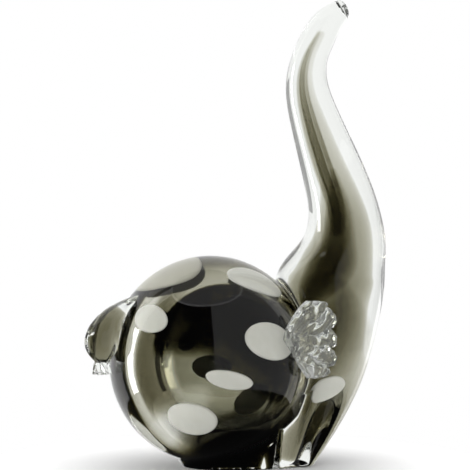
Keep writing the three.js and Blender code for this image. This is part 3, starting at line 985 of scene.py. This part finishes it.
class ELEPHANT_OT_ears(bpy.types.Operator):
    """Two ears, each a clear bit pressed to a ribbed fan"""

    bl_idname = "elephant.ears"
    bl_label = "Ears"

    def execute(self, context):
        # The ears' milky share is painted sheen that stands in for the bright reflections of their ribs
        material = clear_glass("clear_glass_pressed_painted_sheen", context.scene.elephant_glass.ear_clear_share)
        for name, side in (("right_ear", -1), ("left_ear", 1)):
            self.ear(name, side, context.scene.elephant_form.ear_ribs, material)
        return {"FINISHED"}

    def ear(self, name, side, ribs, material):
        """Ear in the box of its node, on the side given as -1 for right or 1 for left"""
        low, high = (np.array(corner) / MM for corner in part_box(name))
        middle = (low + high) / 2
        inner = high[1] if side < 0 else low[1]
        sin, cos = math.sin(math.radians(EAR_TURN)), math.cos(math.radians(EAR_TURN))

        def field(x, y, z):
            ahead, out, up = x - middle[0], side * (y - inner), z - middle[2]
            across = ahead * cos - out * sin
            out = out * cos + ahead * sin
            beads = ear_beads(across, up, ribs)
            reach = ear_reach(across, up, beads)
            share = np.hypot(across, up) / reach
            flat = np.maximum(out - ear_height(across, up, share, beads), -out)
            return smooth_cut((share - 1) * reach, -flat, FINE_EDGE)

        points, faces = skin(field, low - EAR_MARGIN, high + EAR_MARGIN, EAR_STEP)
        piece = glass_piece(name + "_fan", points, faces, field, material)
        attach(piece, "root")
        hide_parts(name)


class ELEPHANT_OT_tail(bpy.types.Operator):
    """Clear drop on the rump with a frilled end"""

    bl_idname = "elephant.tail"
    bl_label = "Tail"

    def execute(self, context):
        lobes = context.scene.elephant_form.tail_lobes

        def field(x, y, z):
            ahead = x - FRILL_FORWARD
            around = np.arctan2(y, ahead)
            marks = MARK_DEPTH * np.cos(MARK_COUNT * around + 0.15 * z) * ease(*MARK_LEVELS, z)
            drop = loft_field(TAIL_SECTIONS, TAIL_BULGE, x, y, z) + marks
            reach = FRILL_RADIUS + FRILL_FLARE * (FRILL_TOP - z)
            reach = reach + FRILL_LOBE * np.cos(lobes * around + 0.5 * z)
            frill = np.maximum(np.hypot(ahead, y) - reach, np.abs(z - FRILL_MIDDLE) - FRILL_HALF_HEIGHT)
            hanging = smooth_union(drop, frill, FRILL_JOIN)
            return np.maximum(hanging, -outer_field(x, y, z) - TAIL_SINK)

        points, faces = skin(field, *TAIL_BOX, TAIL_STEP)
        piece = glass_piece("tail_drop", points, faces, field, clear_glass())
        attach(piece, "root")
        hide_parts("tail")
        self.thread(context.scene.elephant_glass.thread_density)
        return {"FINISHED"}

    def thread(self, density):
        """Smoke that was drawn into the drop"""
        sections = [
            (x, z, THREAD_SHARE * half, THREAD_SHARE * depth, lean)
            for x, z, half, depth, lean in TAIL_SECTIONS[1:4]
        ]

        def field(x, y, z):
            return np.maximum(loft_field(sections, TAIL_BULGE, x, y, z), THREAD_GAP - outer_field(x, y, z))

        points, faces = skin(field, *THREAD_BOX, THREAD_STEP)
        piece = glass_piece("tail_smoke", points, faces, field, smoke_glass("smoke_glass_thread", density))
        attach(piece, "root")


class ELEPHANT_OT_stage(bpy.types.Operator):
    """Pale table, studio sheets and camera"""

    bl_idname = "elephant.stage"
    bl_label = "Stage"

    def execute(self, context):
        stage = context.scene.elephant_stage
        back = Vector(
            (
                math.sin(stage.turn) * math.cos(stage.lift),
                -math.cos(stage.turn) * math.cos(stage.lift),
                math.sin(stage.lift),
            )
        )
        camera = bpy.data.objects.new("camera", bpy.data.cameras.new("camera"))
        camera.data.lens = stage.lens
        camera.data.sensor_width = 36
        camera.location = Vector((0, 0, stage.aim_height)) + back * stage.distance
        camera.rotation_euler = (-back).to_track_quat("-Z", "Y").to_euler()
        context.scene.collection.objects.link(camera)
        context.scene.camera = camera
        self.table(context, stage.table_radius)
        for sheet in STUDIO_SHEETS:
            self.sheet(context, stage, *sheet)
        self.world(context)
        self.light_paths(context.scene)
        return {"FINISHED"}

    def table(self, context, radius):
        """Round white table just under the figure, glowing more with distance so that it fades into the white
        background at its rim; the glow dies out near the figure as a painted contact shadow
        """
        mesh = bpy.data.meshes.new("table")
        turns = [2 * math.pi * i / TABLE_SIDES for i in range(TABLE_SIDES)]
        rim = [(radius * math.cos(turn), radius * math.sin(turn), -TABLE_GAP * MM) for turn in turns]
        mesh.from_pydata(rim, [], [tuple(range(TABLE_SIDES))])
        material, tree, output = new_material("white_table_painted_shadow")
        place = add_node(tree, "ShaderNodeTexCoord").outputs["Object"]
        away = add_node(
            tree, "ShaderNodeVectorMath", {"operation": "LENGTH"}, links={0: place}
        ).outputs["Value"]
        # Glow that is nil within 35 mm of the middle and rises to 0.35 by 100 mm: a painted shadow round the
        # figure's base
        glow_round_painted_shadow = add_node(
            tree,
            "ShaderNodeMapRange",
            {"interpolation_type": "SMOOTHSTEP"},
            {"From Min": 0.035, "From Max": 0.1, "To Min": 0.0, "To Max": 0.35},
            {"Value": away},
        ).outputs["Result"]
        shader = add_node(
            tree,
            "ShaderNodeBsdfPrincipled",
            values={
                "Base Color": (0.85, 0.85, 0.85, 1),
                "Roughness": 0.9,
                "Specular IOR Level": 0.0,
                "Emission Color": (1, 1, 1, 1),
            },
            links={"Emission Strength": glow_round_painted_shadow},
        )
        tree.links.new(shader.outputs["BSDF"], output.inputs["Surface"])
        mesh.materials.append(material)
        table = bpy.data.objects.new("table", mesh)
        # The outer faces of the glass mirror the dark low flag, and not the table
        table.visible_glossy = False
        context.scene.collection.objects.link(table)

    def sheet(self, context, stage, name, turn_from, turn_to, lift_from, lift_to, *light):
        """Curved sheet round the figure, seen in the glass and not by the camera"""
        columns, rows = SHEET_GRID
        ahead = np.array([-math.sin(stage.turn), math.cos(stage.turn), 0])
        right = np.array([math.cos(stage.turn), math.sin(stage.turn), 0])
        points = []
        for row in range(rows + 1):
            lift = math.radians(lift_from + (lift_to - lift_from) * row / rows)
            for column in range(columns + 1):
                turn = math.radians(turn_from + (turn_to - turn_from) * column / columns)
                level = ahead * math.cos(turn) + right * math.sin(turn)
                points.append(stage.room * (level * math.cos(lift) + np.array([0, 0, math.sin(lift)])))
        faces = []
        for row in range(rows):
            for column in range(columns):
                low = row * (columns + 1) + column
                faces.append((low, low + 1, low + columns + 2, low + columns + 1))
        mesh = bpy.data.meshes.new(name)
        mesh.from_pydata([tuple(p) for p in points], [], faces)
        mesh.materials.append(self.sheet_light(name, *light))
        sheet = bpy.data.objects.new(name, mesh)
        sheet.visible_camera = False
        context.scene.collection.objects.link(sheet)

    def sheet_light(self, name, through, reflected, given):
        """Light of a sheet, which differs by how a ray comes to it"""
        material, tree, output = new_material(name)
        path = add_node(tree, "ShaderNodeLightPath").outputs
        seen = add_node(
            tree,
            "ShaderNodeMapRange",
            values={"To Min": through, "To Max": reflected},
            links={"Value": path["Glossy Depth"]},
        ).outputs["Result"]
        strength = add_node(
            tree,
            "ShaderNodeMapRange",
            values={"To Max": given},
            links={"Value": path["Diffuse Depth"], "To Min": seen},
        ).outputs["Result"]
        shader = add_node(tree, "ShaderNodeEmission", links={"Strength": strength})
        tree.links.new(shader.outputs["Emission"], output.inputs["Surface"])
        return material

    def world(self, context):
        """White background for all rays"""
        world = bpy.data.worlds.new("white_studio")
        world.use_nodes = True
        tree = world.node_tree
        tree.nodes.clear()
        output = add_node(tree, "ShaderNodeOutputWorld")
        light = add_node(tree, "ShaderNodeBackground", values={"Color": (1, 1, 1, 1), "Strength": 1.0})
        tree.links.new(light.outputs["Background"], output.inputs["Surface"])
        context.scene.world = world

    def light_paths(self, scene):
        """Enough bounces for glass in glass, and colours shown as they are written"""
        scene.cycles.max_bounces = 40
        scene.cycles.transmission_bounces = 40
        scene.cycles.glossy_bounces = 16
        scene.cycles.diffuse_bounces = 4
        scene.cycles.use_denoising = True
        scene.view_settings.view_transform = "Standard"


class ELEPHANT_PT_panel(bpy.types.Panel):
    """Pieces of the figure"""

    bl_idname = "ELEPHANT_PT_panel"
    bl_label = "Glass elephant"
    bl_space_type = "VIEW_3D"
    bl_region_type = "UI"
    bl_category = "Elephant"

    def draw(self, context):
        for operator in OPERATORS:
            self.layout.operator(operator.bl_idname)
        for name in GROUPS:
            group = getattr(context.scene, name)
            for key in group.bl_rna.properties.keys():
                if key not in ("rna_type", "name"):
                    self.layout.prop(group, key)


GROUPS = {"elephant_form": ElephantForm, "elephant_glass": ElephantGlass, "elephant_stage": ElephantStage}
OPERATORS = (
    ELEPHANT_OT_clear_casing,
    ELEPHANT_OT_smoke_core,
    ELEPHANT_OT_white_spots,
    ELEPHANT_OT_ears,
    ELEPHANT_OT_tail,
    ELEPHANT_OT_stage,
)


def register():
    for kind in (*GROUPS.values(), *OPERATORS, ELEPHANT_PT_panel):
        bpy.utils.register_class(kind)
    for name, kind in GROUPS.items():
        setattr(bpy.types.Scene, name, bpy.props.PointerProperty(type=kind))


def unregister():
    for name in GROUPS:
        delattr(bpy.types.Scene, name)
    for kind in (ELEPHANT_PT_panel, *reversed(OPERATORS), *GROUPS.values()):
        bpy.utils.unregister_class(kind)


def main():
    register()
    for operator in OPERATORS:
        getattr(bpy.ops.elephant, operator.bl_idname.split(".")[1])()


if __name__ == "__main__":
    main()
